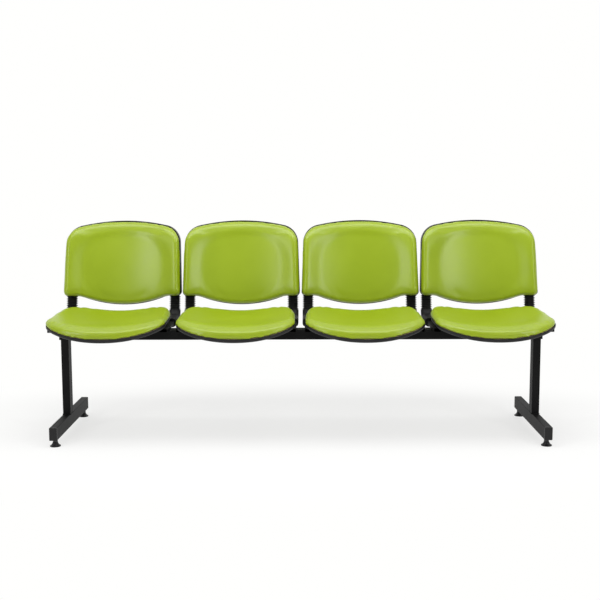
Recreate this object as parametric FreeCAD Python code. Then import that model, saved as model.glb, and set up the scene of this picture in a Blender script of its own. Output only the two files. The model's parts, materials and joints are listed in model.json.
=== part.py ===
import FreeCAD, Part
import math
import os
from FreeCAD import Vector

# Beam seating: four padded seats and backs on one steel beam that stands on two T-shaped legs.
# Lengths are in millimetres. X runs along the beam, the sitters face -Y and Z is up from the floor.
# The model is drawn with Y = 0 at the front face of the leg posts, and moved at the end so that
# the origin is on the floor under the middle of the whole bench.

# Row of seats
SEATS = 4
SEAT_PITCH = 500.0

# Legs: foot bar, post and the plate that closes the post's top
FOOT_WIDTH = 30.0
FOOT_HEIGHT = 50.0
FOOT_FRONT = 220.0
FOOT_REAR = 323.0
FOOT_WALL = 2.0
POST_WIDTH = 30.0
POST_DEPTH = 50.0
POST_HEIGHT = 301.0
POST_WALL = 2.0
POST_PLATE = 6.0
TUBE_CORNER = 3.0
LEG_SPREAD = 1871.0
FOOT_CAP_HEAD = 4.0
FOOT_CAP_PLUG = 12.0

# Beam
BEAM_LENGTH = 1904.0
BEAM_DEPTH = 60.0
BEAM_HEIGHT = 40.0
BEAM_WALL = 2.5
BEAM_CORNER = 4.0
BEAM_CAP_HEAD = 3.0
BEAM_CAP_PLUG = 10.0

# Levelling glides
GLIDE_INSET = 30.0
GLIDE_CLEARANCE = 0.05
PAD_RADIUS = 20.5
PAD_RIM = 3.0
PAD_TOP_RADIUS = 9.5
PAD_FLANK_SAG = 1.5
PAD_HEIGHT = 17.5
PAD_FLOOR = 3.5
STUD_FOOT_RADIUS = 7.0
STUD_FOOT_HEIGHT = 3.5
STUD_NECK_RADIUS = 4.0
COLLAR_FLATS = 17.0
COLLAR_HEIGHT = 8.5
COLLAR_LIFT = 0.5
THREAD_RADIUS = 5.0
THREAD_LENGTH = 34.0
INSERT_FLANGE_RADIUS = 10.5
INSERT_FLANGE = 1.5
INSERT_RADIUS = 7.0
INSERT_LENGTH = 20.0

# Arms: bent rectangular tube with a bracket plate welded along its inner side
ARM_OFFSET = 218.0
ARM_WIDTH = 30.0
ARM_DEPTH = 15.0
ARM_WALL = 1.5
ARM_CORNER = 2.0
ARM_FRONT = -75.0
ARM_BEND_RADIUS = 44.0
ARM_ENTRY_Y = 303.1
ARM_IN_BACK = 165.0
BRACKET_INNER = 105.0
BRACKET_REAR = 125.0
BRACKET_PLATE = 4.0
BRACKET_CORNER = 8.0
BEAM_SCREW_INNER = 130.0
BEAM_SCREW_SPACING = 30.0
SEAT_SCREW_OFFSET = 150.0
SEAT_SCREW_FRONT = -50.0
SEAT_SCREW_REAR = 100.0

# Bellows: ribbed sleeve over each arm between the seat and the back
BELLOWS_WIDTH = 47.0
BELLOWS_DEPTH = 36.0
BELLOWS_CORNER = 17.0
BELLOWS_WALL = 2.2
BELLOWS_COLLAR = 6.0
BELLOWS_FRONT = 140.0
RIB_COUNT = 8
RIB_PITCH = 7.6
RIB_HEIGHT = 2.6

# Seat outline and its two curved surfaces: the seam under the cover, and the crown on top
SEAT_HALF_WIDTH = 232.4
SEAT_WIDEST_Y = -88.5
SEAT_FRONT_REACH = 124.0
SEAT_REAR_REACH = 316.0
SEAT_FRONT_SQUARENESS = 2.3
SEAT_REAR_SQUARENESS = 4.0
SEAM_LEVEL = 430.9
SEAM_SLOPE = 0.0415
SEAM_NOSE_DROP = 15.5
SEAM_DISH = 26.5
CROWN_LEVEL = 453.0
CROWN_SLOPE = 0.0075
CROWN_NOSE_DROP = 8.0
CROWN_TAIL_RISE = 19.0
CROWN_DISH = 26.5
CROWN_DISH_GROWTH = 0.03
SEAT_TOP_ROUND = 15.0
SEAT_SEAM_ROUND = 4.0
SEAT_BOARD = 9.0
SEAT_SHELL_DEPTH = 12.0
SEAT_SHELL_NOSE = 5.0
SEAT_SHELL_INSET = 2.0
SEAT_SHELL_ROUND = 8.0
BOSS_RADIUS = 11.0

# Back outline, seen from the front, and its plan curve and recline
BACK_WIDTH = 494.0
BACK_TOP_WIDTH = 474.8
BACK_CORNER_Z = 521.7
BACK_SIDE_HEIGHT = 282.2
BACK_CROWN_RISE = 46.5
BACK_CROWN_RADIUS = 840.0
BACK_TOP_CORNER = 76.0
BACK_LOW_CORNER = 18.0
BACK_EAR = 60.8
BACK_EAR_BLEND = 60.0
BACK_SMILE_DROP = 74.1
BACK_SMILE_RADIUS = 446.0
BACK_RECLINE = 12.0
BACK_DATUM_Z = 536.4
BACK_CENTRE_Y = 323.6
BACK_SAGITTA = 54.6
BACK_CUSHION_EDGE = 22.0
BACK_CUSHION_CROWN = 34.0
BACK_CUSHION_INSET = 2.5
BACK_FRONT_ROUND = 13.0
BACK_SEAM_ROUND = 3.0
BACK_BOARD = 8.0
BACK_SHELL_DEPTH = 22.0
BACK_SHELL_SAGITTA = 33.0
BACK_SHELL_ROUND = 10.0

# Moulded shells and general clearances
SHELL_WALL = 2.5
BOARD_INSET = 6.0
REST_GAP = 0.3
HOLE_CLEARANCE = 0.4
PLUG_CLEARANCE = 0.1

# Points on the seat's outline, sections of the curved slabs and how far these pass the outline
OUTLINE_POINTS = 24
SEAT_STATIONS = 7
BACK_STATIONS = 5
SLAB_MARGIN = 30.0
BACK_REACH = 200.0

# Fasteners
M8_RADIUS = 4.0
M8_HEAD_RADIUS = 7.0
M8_HEAD = 4.4
BEAM_SCREW_LENGTH = 16.0
BEAM_INSERT_RADIUS = 5.5
BEAM_INSERT_LENGTH = 15.0
M6_RADIUS = 3.0
M6_HEAD_RADIUS = 5.25
M6_HEAD = 3.3
NUT_RADIUS = 4.5
NUT_RECESS = 1.0
BACK_SCREW_LOW = 45.0
BACK_SCREW_HIGH = 130.0
BACK_SCREW_BITE = 12.0

# Heights and places worked out from the sizes above
glide_height = PAD_HEIGHT + COLLAR_LIFT + COLLAR_HEIGHT + INSERT_FLANGE
foot_top = glide_height + FOOT_HEIGHT
beam_bottom = foot_top + POST_HEIGHT
beam_top = beam_bottom + BEAM_HEIGHT
beam_mid_y = POST_DEPTH / 2
bracket_top = beam_top + BRACKET_PLATE
arm_mid_z = beam_top + ARM_DEPTH / 2
recline = math.radians(BACK_RECLINE)
up_back = Vector(0, math.sin(recline), math.cos(recline))
leg_screw_x = LEG_SPREAD / 2 - SEAT_PITCH * (SEATS - 1) / 2
seat_front = SEAT_WIDEST_Y - SEAT_FRONT_REACH
seat_rear = SEAT_WIDEST_Y + SEAT_REAR_REACH


def in_xy(z):
    """Place a flat outline in the level plane at height z."""
    return lambda a, b: Vector(a, b, z)


def in_xz(y):
    """Place a flat outline in the upright plane at depth y."""
    return lambda a, b: Vector(a, y, b)


def in_yz(x):
    """Place a flat outline in the side plane at x."""
    return lambda a, b: Vector(x, a, b)


def rounded(corners, place):
    """Closed wire of lines and tangent arcs, from corners given as (a, b, radius)."""
    ends = []
    for i, (a, b, radius) in enumerate(corners):
        here = Vector(a, b, 0)
        before = Vector(*corners[i - 1][:2], 0) - here
        after = Vector(*corners[(i + 1) % len(corners)][:2], 0) - here
        before.normalize()
        after.normalize()
        half = before.getAngle(after) / 2
        reach = radius / math.tan(half)
        middle = before + after
        middle.normalize()
        bend = here + middle * (radius / math.sin(half) - radius)
        ends.append((here + before * reach, bend, here + after * reach))
    edges = []
    for i, (start, bend, stop) in enumerate(ends):
        start3, bend3, stop3 = [place(p.x, p.y) for p in (start, bend, stop)]
        if corners[i][2] > 0:
            edges.append(Part.Arc(start3, bend3, stop3).toShape())
        following = ends[(i + 1) % len(ends)][0]
        if (following - stop).Length > 1e-6:
            edges.append(Part.LineSegment(stop3, place(following.x, following.y)).toShape())
    return Part.Wire(edges)


def rectangle(a, b, width, height, radius, place):
    """Rounded rectangle centred on (a, b)."""
    w, h = width / 2, height / 2
    corners = [(a - w, b - h, radius), (a + w, b - h, radius), (a + w, b + h, radius), (a - w, b + h, radius)]
    return rounded(corners, place)


def drum(radius, height, x, y, z, direction=Vector(0, 0, 1)):
    """Plain cylinder whose first end is centred on the point given."""
    return Part.makeCylinder(radius, height, Vector(x, y, z), direction)


def moved(shape, x=0.0, y=0.0, z=0.0):
    """Copy of a shape, shifted."""
    copy = shape.copy()
    copy.translate(Vector(x, y, z))
    return copy


def joined(shapes):
    """One solid from shapes that touch or overlap."""
    return shapes[0].fuse(shapes[1:]).removeSplitter()


def square_tube(wires, run):
    """Straight tube from an outer and an inner outline."""
    outer, inner = [Part.Face(wire).extrude(run) for wire in wires]
    return outer.cut(inner)


# Legs


def foot_bar(x):
    """Foot bar with a hole for each glide insert."""
    mid_z = glide_height + FOOT_HEIGHT / 2
    start = -FOOT_FRONT + FOOT_CAP_HEAD
    run = Vector(0, FOOT_FRONT + FOOT_REAR - 2 * FOOT_CAP_HEAD, 0)
    wires = [
        rectangle(x, mid_z, FOOT_WIDTH, FOOT_HEIGHT, TUBE_CORNER, in_xz(start)),
        rectangle(x, mid_z, FOOT_WIDTH - 2 * FOOT_WALL, FOOT_HEIGHT - 2 * FOOT_WALL,
                  TUBE_CORNER - FOOT_WALL, in_xz(start)),
    ]
    holes = [drum(INSERT_RADIUS + GLIDE_CLEARANCE, FOOT_WALL * 2, x, y, glide_height - FOOT_WALL / 2)
             for y in glide_places]
    return square_tube(wires, run).cut(holes)


def foot_cap(x, y, outward):
    """Push-in end cap of a foot bar: a flush head and a plug inside the tube."""
    mid_z = glide_height + FOOT_HEIGHT / 2
    head = Part.Face(rectangle(x, mid_z, FOOT_WIDTH, FOOT_HEIGHT, TUBE_CORNER, in_xz(y)))
    slack = 2 * (FOOT_WALL + PLUG_CLEARANCE)
    plug = Part.Face(rectangle(x, mid_z, FOOT_WIDTH - slack, FOOT_HEIGHT - slack,
                               TUBE_CORNER - FOOT_WALL, in_xz(y)))
    return joined([
        head.extrude(Vector(0, outward * FOOT_CAP_HEAD, 0)),
        plug.extrude(Vector(0, -outward * FOOT_CAP_PLUG, 0)),
    ])


def leg_post(x):
    """Upright tube with a threaded plate welded inside its top."""
    wires = [
        rectangle(x, POST_DEPTH / 2, POST_WIDTH, POST_DEPTH, TUBE_CORNER, in_xy(foot_top)),
        rectangle(x, POST_DEPTH / 2, POST_WIDTH - 2 * POST_WALL, POST_DEPTH - 2 * POST_WALL,
                  TUBE_CORNER - POST_WALL, in_xy(foot_top)),
    ]
    tube = square_tube(wires, Vector(0, 0, POST_HEIGHT))
    plate = Part.Face(rectangle(x, POST_DEPTH / 2, POST_WIDTH - POST_WALL, POST_DEPTH - POST_WALL,
                                TUBE_CORNER - POST_WALL / 2, in_xy(beam_bottom - POST_PLATE)))
    plate = plate.extrude(Vector(0, 0, POST_PLATE))
    holes = [drum(M8_RADIUS + GLIDE_CLEARANCE, POST_PLATE, x, y, beam_bottom - POST_PLATE)
             for y in beam_screw_rows]
    return joined([tube, plate]).cut(holes)


# Beam


def beam():
    """Rectangular beam with its clearance holes and insert holes."""
    mid_z = beam_bottom + BEAM_HEIGHT / 2
    wires = [
        rectangle(beam_mid_y, mid_z, BEAM_DEPTH, BEAM_HEIGHT, BEAM_CORNER, in_yz(-BEAM_LENGTH / 2)),
        rectangle(beam_mid_y, mid_z, BEAM_DEPTH - 2 * BEAM_WALL, BEAM_HEIGHT - 2 * BEAM_WALL,
                  BEAM_CORNER - BEAM_WALL, in_yz(-BEAM_LENGTH / 2)),
    ]
    tube = square_tube(wires, Vector(BEAM_LENGTH, 0, 0))
    holes = [drum(BEAM_INSERT_RADIUS + PLUG_CLEARANCE, 2 * BEAM_WALL, x, y, beam_top - BEAM_WALL * 1.5)
             for x, y in insert_places]
    holes += [drum(M8_RADIUS + HOLE_CLEARANCE, BEAM_HEIGHT, x, y, beam_bottom)
              for x, y in leg_bolt_places]
    return tube.cut(holes)


def beam_cap(side):
    """Push-in end cap of the beam."""
    mid_z = beam_bottom + BEAM_HEIGHT / 2
    x = side * BEAM_LENGTH / 2
    head = Part.Face(rectangle(beam_mid_y, mid_z, BEAM_DEPTH, BEAM_HEIGHT, BEAM_CORNER, in_yz(x)))
    slack = 2 * (BEAM_WALL + PLUG_CLEARANCE)
    plug = Part.Face(rectangle(beam_mid_y, mid_z, BEAM_DEPTH - slack, BEAM_HEIGHT - slack,
                               BEAM_CORNER - BEAM_WALL, in_yz(x)))
    return joined([
        head.extrude(Vector(side * BEAM_CAP_HEAD, 0, 0)),
        plug.extrude(Vector(-side * BEAM_CAP_PLUG, 0, 0)),
    ])


# Levelling glides


def glide_pad(x, y):
    """Round foot with a bell-shaped flank and a pocket in which the stud's foot turns."""
    flank = Part.Arc(
        Vector(PAD_RADIUS, 0, PAD_RIM),
        Vector((PAD_RADIUS + PAD_TOP_RADIUS) / 2 - PAD_FLANK_SAG, 0, PAD_HEIGHT / 2),
        Vector(PAD_TOP_RADIUS, 0, PAD_HEIGHT),
    ).toShape()
    corners = [Vector(PAD_TOP_RADIUS, 0, PAD_HEIGHT), Vector(0, 0, PAD_HEIGHT), Vector(0, 0, 0),
               Vector(PAD_RADIUS, 0, 0), Vector(PAD_RADIUS, 0, PAD_RIM)]
    profile = Part.Face(Part.Wire([flank, *Part.makePolygon(corners).Edges]))
    body = profile.revolve(Vector(0, 0, 0), Vector(0, 0, 1), 360)
    pocket = drum(STUD_FOOT_RADIUS + GLIDE_CLEARANCE, STUD_FOOT_HEIGHT + 2 * GLIDE_CLEARANCE,
                  0, 0, PAD_FLOOR - GLIDE_CLEARANCE)
    neck = drum(STUD_NECK_RADIUS + GLIDE_CLEARANCE, PAD_HEIGHT, 0, 0, PAD_FLOOR)
    return moved(body.cut([pocket, neck]), x, y)


def glide_stud(x, y):
    """Levelling screw: foot disc, neck, hexagonal collar and thread."""
    collar_z = PAD_HEIGHT + COLLAR_LIFT
    corner = COLLAR_FLATS / math.sqrt(3)
    turns = [math.radians(60 * i) for i in range(7)]
    hexagon = Part.makePolygon([Vector(corner * math.cos(t), corner * math.sin(t), collar_z) for t in turns])
    return moved(joined([
        drum(STUD_FOOT_RADIUS, STUD_FOOT_HEIGHT, 0, 0, PAD_FLOOR),
        drum(STUD_NECK_RADIUS, collar_z - PAD_FLOOR, 0, 0, PAD_FLOOR),
        Part.Face(hexagon).extrude(Vector(0, 0, COLLAR_HEIGHT)),
        drum(THREAD_RADIUS, THREAD_LENGTH, 0, 0, collar_z + COLLAR_HEIGHT),
    ]), x, y)


def glide_insert(x, y):
    """Threaded insert in the foot bar's lower wall, with its flange under the bar."""
    flange_z = glide_height - INSERT_FLANGE
    body = joined([
        drum(INSERT_FLANGE_RADIUS, INSERT_FLANGE, x, y, flange_z),
        drum(INSERT_RADIUS, INSERT_LENGTH, x, y, flange_z),
    ])
    return body.cut(drum(THREAD_RADIUS + GLIDE_CLEARANCE, INSERT_LENGTH, x, y, flange_z))


# Arms and bellows


def upright_frame(distance):
    """Place a flat outline square across the arm's upright, at a distance up it from its elbow."""
    across = Vector(0, math.cos(recline), -math.sin(recline))
    return lambda a, b: Vector(a, 0, 0) + elbow_end + across * b + up_back * distance


def bent(width, depth, corner, front, rise):
    """L-shaped solid of rounded section that follows an arm's middle line."""
    section = rectangle(0, arm_mid_z, width, depth, corner, in_xz(front))
    flat = Part.Face(section).extrude(Vector(0, elbow_start - front, 0))
    at_elbow = Part.Face(rectangle(0, arm_mid_z, width, depth, corner, in_xz(elbow_start)))
    pivot = Vector(0, elbow_start, arm_mid_z + ARM_BEND_RADIUS)
    elbow = at_elbow.revolve(pivot, Vector(1, 0, 0), 90 - BACK_RECLINE)
    upright = Part.Face(rectangle(0, 0, width, depth, corner, upright_frame(0)))
    return joined([flat, elbow, upright.extrude(up_back * rise)])


def arm():
    """Right arm: bent tube with the bracket plate that bolts to the beam and to the seat."""
    rise = rise_to_datum + ARM_IN_BACK
    outer = bent(ARM_WIDTH, ARM_DEPTH, ARM_CORNER, ARM_FRONT, rise)
    inner = bent(ARM_WIDTH - 2 * ARM_WALL, ARM_DEPTH - 2 * ARM_WALL, ARM_CORNER - ARM_WALL, ARM_FRONT, rise)
    tube = moved(outer.cut(inner), ARM_OFFSET)
    weld_x = ARM_OFFSET - ARM_WIDTH / 2
    plate = Part.Face(rounded([
        (BRACKET_INNER, ARM_FRONT, BRACKET_CORNER),
        (weld_x, ARM_FRONT, 0.0),
        (weld_x, BRACKET_REAR, 0.0),
        (BRACKET_INNER, BRACKET_REAR, BRACKET_CORNER),
    ], in_xy(beam_top))).extrude(Vector(0, 0, BRACKET_PLATE))
    holes = [drum(M8_RADIUS + HOLE_CLEARANCE, BRACKET_PLATE, x, y, beam_top)
             for x in (BEAM_SCREW_INNER, leg_screw_x) for y in beam_screw_rows]
    holes += [drum(M6_RADIUS + HOLE_CLEARANCE, BRACKET_PLATE, SEAT_SCREW_OFFSET, y, beam_top)
              for y in seat_screw_rows]
    holes += [drum(M6_RADIUS + HOLE_CLEARANCE, 2 * ARM_DEPTH, p.x, p.y, p.z, across_back)
              for p in back_screw_points(1, -ARM_DEPTH)]
    return joined([tube, plate]).cut(holes)


def ribbed(width, depth, corner, length):
    """Stack of ribs up the arm's upright, each with a flat root and a flat crest."""
    wires = []
    for rib in range(RIB_COUNT):
        base = length - (RIB_COUNT - rib) * RIB_PITCH
        for step, trim in ((0.0, RIB_HEIGHT), (0.2, RIB_HEIGHT), (0.5, 0.0), (0.7, 0.0)):
            at = base + step * RIB_PITCH
            wires.append(rectangle(0, 0, width - 2 * trim, depth - 2 * trim, corner - trim, upright_frame(at)))
    wires.append(rectangle(0, 0, width - 2 * RIB_HEIGHT, depth - 2 * RIB_HEIGHT, corner - RIB_HEIGHT,
                           upright_frame(length)))
    return Part.makeLoft(wires, True, True)


def bellows():
    """Right bellows: ribs above, a smooth elbow and a level run, hollow but for a collar at each end."""
    top = BACK_CORNER_Z - REST_GAP
    length = (top - elbow_end.z) / math.cos(recline)
    slant = BELLOWS_DEPTH * math.tan(recline) / 2
    plain = length + slant - RIB_COUNT * RIB_PITCH
    smooth = bent(BELLOWS_WIDTH, BELLOWS_DEPTH, BELLOWS_CORNER, BELLOWS_FRONT, plain)
    ribs = ribbed(BELLOWS_WIDTH, BELLOWS_DEPTH, BELLOWS_CORNER, length + slant)
    trim = RIB_HEIGHT + BELLOWS_WALL
    hollow = bent(BELLOWS_WIDTH - 2 * trim, BELLOWS_DEPTH - 2 * trim, BELLOWS_CORNER - trim,
                  BELLOWS_FRONT + BELLOWS_COLLAR, length - slant - BELLOWS_COLLAR)
    bore = bent(ARM_WIDTH + 2 * REST_GAP, ARM_DEPTH + 2 * REST_GAP, ARM_CORNER, BELLOWS_FRONT,
                length + 2 * slant)
    above = Part.makeBox(2 * BELLOWS_WIDTH, 4 * BELLOWS_DEPTH, 4 * slant,
                         Vector(-BELLOWS_WIDTH, ARM_ENTRY_Y - 2 * BELLOWS_DEPTH, top))
    return moved(joined([smooth, ribs]).cut([hollow, bore, above]), ARM_OFFSET)


# Seat


def seat_outline(inset):
    """Closed curve of the seat seen from above: a rounder front and a longer, squarer rear."""
    points = []
    for i in range(OUTLINE_POINTS):
        angle = 2 * math.pi * i / OUTLINE_POINTS
        c, s = math.cos(angle), math.sin(angle)
        square = SEAT_FRONT_SQUARENESS if s < 0 else SEAT_REAR_SQUARENESS
        reach = (SEAT_FRONT_REACH if s < 0 else SEAT_REAR_REACH) - inset
        x = math.copysign(abs(c) ** (2 / square), c) * (SEAT_HALF_WIDTH - inset)
        y = math.copysign(abs(s) ** (2 / square), s) * reach
        points.append(Vector(x, SEAT_WIDEST_Y + y, 0))
    curve = Part.BSplineCurve()
    curve.interpolate(Points=points, PeriodicFlag=True)
    return Part.Wire([curve.toShape()])


def nose(y):
    """How far y is into the seat's front, from 0 at its widest line to 1 at its front edge."""
    return max(0.0, (SEAT_WIDEST_Y - y) / SEAT_FRONT_REACH)


def tail(y):
    """How far y is into the seat's rear, from 0 at its widest line to 1 at its rear edge."""
    return max(0.0, (y - SEAT_WIDEST_Y) / SEAT_REAR_REACH)


def seam_z(y):
    """Height of the seam surface on the seat's middle line."""
    return SEAM_LEVEL + SEAM_SLOPE * (y - SEAT_WIDEST_Y) - SEAM_NOSE_DROP * nose(y) ** 2


def seam_at(x, y):
    """Height of the seam surface at a point of the seat."""
    return seam_z(y) + SEAM_DISH * (x / SEAT_HALF_WIDTH) ** 2


def crown_z(y):
    """Height of the cushion's top on the seat's middle line."""
    rise = CROWN_SLOPE * (y - SEAT_WIDEST_Y) + CROWN_TAIL_RISE * tail(y) ** 2
    return CROWN_LEVEL + rise - CROWN_NOSE_DROP * nose(y) ** 2


def crown_dish(y):
    """How much higher the cushion's top is at its sides than on its middle line."""
    return CROWN_DISH + CROWN_DISH_GROWTH * (y - SEAT_WIDEST_Y)


def seat_slab(low, high):
    """Solid between two dished surfaces, each given as a height and a side rise along Y."""
    margin = SLAB_MARGIN
    stations = SEAT_STATIONS
    half = SEAT_HALF_WIDTH + margin
    spread = (half / SEAT_HALF_WIDTH) ** 2
    wires = []
    for i in range(stations):
        y = seat_front - margin + (seat_rear - seat_front + 2 * margin) * i / (stations - 1)
        (z0, rise0), (z1, rise1) = low(y), high(y)
        low_left, low_mid, low_right = [Vector(x, y, z0 + r) for x, r in
                                        ((-half, rise0 * spread), (0, 0), (half, rise0 * spread))]
        high_left, high_mid, high_right = [Vector(x, y, z1 + r) for x, r in
                                           ((-half, rise1 * spread), (0, 0), (half, rise1 * spread))]
        wires.append(Part.Wire([
            Part.Arc(low_left, low_mid, low_right).toShape(),
            Part.LineSegment(low_right, high_right).toShape(),
            Part.Arc(high_right, high_mid, high_left).toShape(),
            Part.LineSegment(high_left, low_left).toShape(),
        ]))
    return Part.makeLoft(wires, True, False)


def seat_prism(inset):
    """Upright prism of the seat's outline, taller than the seat."""
    outline = seat_outline(inset)
    outline.translate(Vector(0, 0, beam_bottom))
    return Part.Face(outline).extrude(Vector(0, 0, BACK_DATUM_Z - beam_bottom))


def rim_edges(shape, upper):
    """Edges round the upper or the lower rim of a seat piece."""
    broad = sorted(shape.Faces, key=lambda face: face.Area)[-2:]
    broad.sort(key=lambda face: face.CenterOfMass.z)
    return broad[-1 if upper else 0].OuterWire.Edges


def seam_offset(drop, nose_drop=0.0):
    """Seam surface lowered by a drop, and by more under the nose."""
    return lambda y: (seam_z(y) - drop - nose_drop * nose(y) ** 2, SEAM_DISH)


def seat_cushion():
    """Crowned pad: foam and cover, with its edge rolled over the board."""
    pad = seat_slab(seam_offset(0.0), lambda y: (crown_z(y), crown_dish(y))).common(seat_prism(0.0)).Solids[0]
    pad = pad.makeFillet(SEAT_TOP_ROUND, rim_edges(pad, True))
    return pad.makeFillet(SEAT_SEAM_ROUND, rim_edges(pad, False))


def seat_board():
    """Curved plywood board inside the shell."""
    inset = SEAT_SHELL_INSET + SHELL_WALL + BOARD_INSET
    slab = seat_slab(seam_offset(REST_GAP + SEAT_BOARD), seam_offset(REST_GAP))
    board = slab.common(seat_prism(inset)).Solids[0]
    holes = [drum(NUT_RADIUS + PLUG_CLEARANCE, BACK_DATUM_Z - beam_top, x, y, beam_top)
             for x, y in seat_screw_places]
    return board.cut(holes)


def seat_shell():
    """Moulded tray under the board, with a boss over each seat screw."""
    depth = SEAT_SHELL_DEPTH
    outer = seat_slab(seam_offset(depth, SEAT_SHELL_NOSE), seam_offset(REST_GAP))
    outer = outer.common(seat_prism(SEAT_SHELL_INSET)).Solids[0]
    inner = seat_slab(seam_offset(depth - SHELL_WALL, SEAT_SHELL_NOSE), seam_offset(-SEAT_BOARD))
    inner = inner.common(seat_prism(SEAT_SHELL_INSET + SHELL_WALL)).Solids[0]
    tray = outer.cut(inner)
    tray = tray.makeFillet(SEAT_SHELL_ROUND, rim_edges(tray, False))
    tray = tray.makeFillet(SEAT_SHELL_ROUND - SHELL_WALL, rim_edges(tray, True))
    bosses = [drum(BOSS_RADIUS, seam_at(x, y) - bracket_top, x, y, bracket_top).cut(inner).Solids[0]
              for x, y in seat_screw_places]
    holes = [drum(M6_RADIUS + HOLE_CLEARANCE, seam_at(x, y) - beam_top, x, y, beam_top)
             for x, y in seat_screw_places]
    return tray.fuse(bosses).cut(holes)


# Back


def back_outline(inset, place):
    """Outline of the back seen from the front: crowned top, straight flanks and a bowed lower edge."""
    low, top = BACK_WIDTH / 2, BACK_TOP_WIDTH / 2
    ear_x = low - BACK_EAR
    half = [
        (ear_x, BACK_CORNER_Z, BACK_EAR_BLEND),
        (low, BACK_CORNER_Z, BACK_LOW_CORNER),
        (top, BACK_CORNER_Z + BACK_SIDE_HEIGHT, BACK_TOP_CORNER),
    ]
    corners = [(0.0, BACK_CORNER_Z - BACK_SMILE_DROP, BACK_SMILE_RADIUS), *half,
               (0.0, BACK_CORNER_Z + BACK_SIDE_HEIGHT + BACK_CROWN_RISE, BACK_CROWN_RADIUS)]
    corners += [(-a, b, r) for a, b, r in reversed(half)]
    wire = rounded(corners, place)
    return wire.makeOffset2D(-inset) if inset > 0 else wire


def back_prism(inset):
    """Prism of the back's outline along Y, deeper than the back."""
    outline = back_outline(inset, in_xz(BACK_CENTRE_Y - BACK_REACH))
    return Part.Face(outline).extrude(Vector(0, 2 * BACK_REACH, 0))


def back_slab(front, rear, crown=0.0):
    """Solid between two plan curves, each given as a shift behind the seam and a sagitta."""
    half = BACK_WIDTH / 2
    margin = SLAB_MARGIN
    low = BACK_CORNER_Z - margin - BACK_SMILE_DROP
    high = BACK_CORNER_Z + BACK_SIDE_HEIGHT + BACK_CROWN_RISE + margin
    stations = BACK_STATIONS if crown else 2
    spread = ((half + margin) / half) ** 2
    wires = []
    for i in range(stations):
        share = i / (stations - 1)
        z = low + (high - low) * share
        lean = BACK_CENTRE_Y + (z - BACK_DATUM_Z) * math.tan(recline)
        swell = crown * (1 - (2 * share - 1) ** 2)
        rows = []
        for (shift, sagitta), bulge in ((front, swell), (rear, 0.0)):
            middle = lean + shift - bulge
            edge = lean + shift - sagitta * spread
            rows.append([Vector(x, y, z) for x, y in ((-half - margin, edge), (0, middle), (half + margin, edge))])
        (f0, f1, f2), (r0, r1, r2) = rows
        wires.append(Part.Wire([
            Part.Arc(f0, f1, f2).toShape(),
            Part.LineSegment(f2, r2).toShape(),
            Part.Arc(r2, r1, r0).toShape(),
            Part.LineSegment(r0, f0).toShape(),
        ]))
    return Part.makeLoft(wires, True, stations == 2)


def flank_edges(shape, front):
    """Edges round the front or the rear rim of a back piece."""
    broad = sorted(shape.Faces, key=lambda face: face.Area)[-2:]
    broad.sort(key=lambda face: face.CenterOfMass.y)
    return broad[0 if front else -1].OuterWire.Edges


def back_cushion():
    """Crowned pad of the back."""
    front = (-BACK_CUSHION_EDGE, BACK_SAGITTA)
    crown = BACK_CUSHION_CROWN - BACK_CUSHION_EDGE
    pad = back_slab(front, (0.0, BACK_SAGITTA), crown).common(back_prism(BACK_CUSHION_INSET)).Solids[0]
    pad = pad.makeFillet(BACK_FRONT_ROUND, flank_edges(pad, True))
    return pad.makeFillet(BACK_SEAM_ROUND, flank_edges(pad, False))


def back_shell_blank(inset, wall):
    """Filled form of the back shell, drawn in by an inset and a wall."""
    front = (REST_GAP if wall == 0 else -REST_GAP, BACK_SAGITTA)
    rear = (BACK_SHELL_DEPTH - wall, BACK_SHELL_SAGITTA)
    blank = back_slab(front, rear).common(back_prism(inset)).Solids[0]
    return blank.makeFillet(BACK_SHELL_ROUND - wall, flank_edges(blank, False))


def back_shell():
    """Moulded rear shell with a mouth in its lower edge for each arm."""
    inner = back_shell_blank(SHELL_WALL, SHELL_WALL)
    mouths = [moved(bent(ARM_WIDTH + 2 * REST_GAP, ARM_DEPTH + 2 * REST_GAP, ARM_CORNER, BELLOWS_FRONT,
                         ARM_IN_BACK), side * ARM_OFFSET) for side in (-1, 1)]
    return back_blank.cut([inner, *mouths])


def back_screw_points(side, behind):
    """Middle points of the back screws on one arm, a distance behind the arm's middle line."""
    return [Vector(side * ARM_OFFSET, 0, 0) + elbow_end + up_back * (rise_to_datum + v) + across_back * behind
            for v in (BACK_SCREW_LOW, BACK_SCREW_HIGH)]


def back_carrier():
    """Curved inner panel with a wedge-shaped seat for each arm."""
    inset = SHELL_WALL + BOARD_INSET
    front = (REST_GAP, BACK_SAGITTA)
    panel = back_slab(front, (REST_GAP + BACK_BOARD, BACK_SAGITTA)).common(back_prism(inset)).Solids[0]
    behind_seam = back_slab(front, (3 * BACK_BOARD, BACK_SAGITTA))
    seats = []
    for side in (-1, 1):
        block = Part.Face(rectangle(0, -ARM_DEPTH * 1.5 - REST_GAP, ARM_WIDTH, ARM_DEPTH * 2, 0.0,
                                    upright_frame(rise_to_datum + BACK_LOW_CORNER)))
        block = moved(block.extrude(up_back * (ARM_IN_BACK - BACK_LOW_CORNER)), side * ARM_OFFSET)
        seats.append(block.common(behind_seam))
    holes = [drum(M6_RADIUS + HOLE_CLEARANCE / 4, BACK_SCREW_BITE + REST_GAP, p.x, p.y, p.z, -across_back)
             for side in (-1, 1) for p in back_screw_points(side, -ARM_DEPTH / 2)]
    return joined([panel, *seats]).cut(holes)


# Fasteners


def headed(radius, head_radius, head, length, foot, direction):
    """Screw whose head rests at a point and whose shank runs against the head's direction."""
    cap = drum(head_radius, head, foot.x, foot.y, foot.z, direction)
    shank = drum(radius, length, foot.x, foot.y, foot.z, -direction)
    return joined([cap, shank])


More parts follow.
